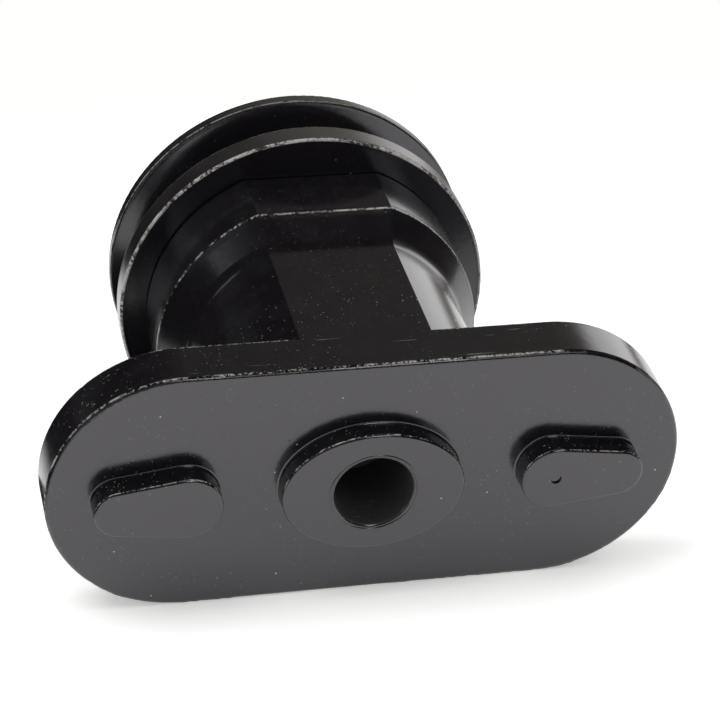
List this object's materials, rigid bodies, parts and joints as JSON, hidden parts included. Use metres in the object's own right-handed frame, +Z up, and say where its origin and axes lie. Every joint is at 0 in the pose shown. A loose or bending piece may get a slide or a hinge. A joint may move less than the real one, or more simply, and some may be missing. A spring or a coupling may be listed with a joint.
{
  "type": "track roller",
  "caption": "Flanged track roller on a single-bolt foot with two tapered keys, turning in a two-bearing housing with a shaft seal.",
  "frame": {"origin": "centre of the foot's face, on the axis of the threaded anchor hole", "axes": "+Y along the roller's axis from the foot to the roller, +X along the foot's long direction, +Z up"},
  "size_m": [0.104, 0.083, 0.0654],
  "materials": {
    "black_enamel": "gloss black enamel",
    "roller_enamel": "gloss black enamel",
    "cap_steel": "zinc plated",
    "turned_steel": "turned",
    "bearing_steel": "ground",
    "spring_steel": "oiled",
    "rubber": "moulded",
    "brass": "machined"
  },
  "bodies": {
    "bracket": {"foot_bracket": "black_enamel", "grease_plug": "brass", "outer_race_a": "bearing_steel", "outer_race_b": "bearing_steel", "outer_spacer": "turned_steel", "housing_circlip": "spring_steel", "seal_case": "turned_steel", "seal_lip": "rubber", "seal_spring": "spring_steel"},
    "roller": {"spool": "roller_enamel", "shaft": "turned_steel", "shaft_oring": "rubber", "spool_key": "turned_steel", "inner_race_a": "bearing_steel", "inner_race_b": "bearing_steel", "inner_spacer": "turned_steel", "hub_washer": "turned_steel", "hub_nut": "turned_steel", "dust_cap": "cap_steel"},
    "ball_set_a": {"cage_a": "brass", "balls_a": "bearing_steel"},
    "ball_set_b": {"cage_b": "brass", "balls_b": "bearing_steel"}
  },
  "joints": [
    {"name": "roller_spin", "type": "hinge", "parent": "bracket", "child": "roller", "pos_m": [0, 0.054, 0], "axis": [0, 1, 0], "continuous": true},
    {"name": "ball_set_a_orbit", "type": "hinge", "parent": "bracket", "child": "ball_set_a", "pos_m": [0, 0.0416, 0], "axis": [0, 1, 0], "continuous": true},
    {"name": "ball_set_b_orbit", "type": "hinge", "parent": "bracket", "child": "ball_set_b", "pos_m": [0, 0.0296, 0], "axis": [0, 1, 0], "continuous": true}
  ],
  "couplings": [
    {"joint": "ball_set_a_orbit", "follows": "roller_spin", "ratio": 0.41579},
    {"joint": "ball_set_b_orbit", "follows": "roller_spin", "ratio": 0.41579}
  ]
}
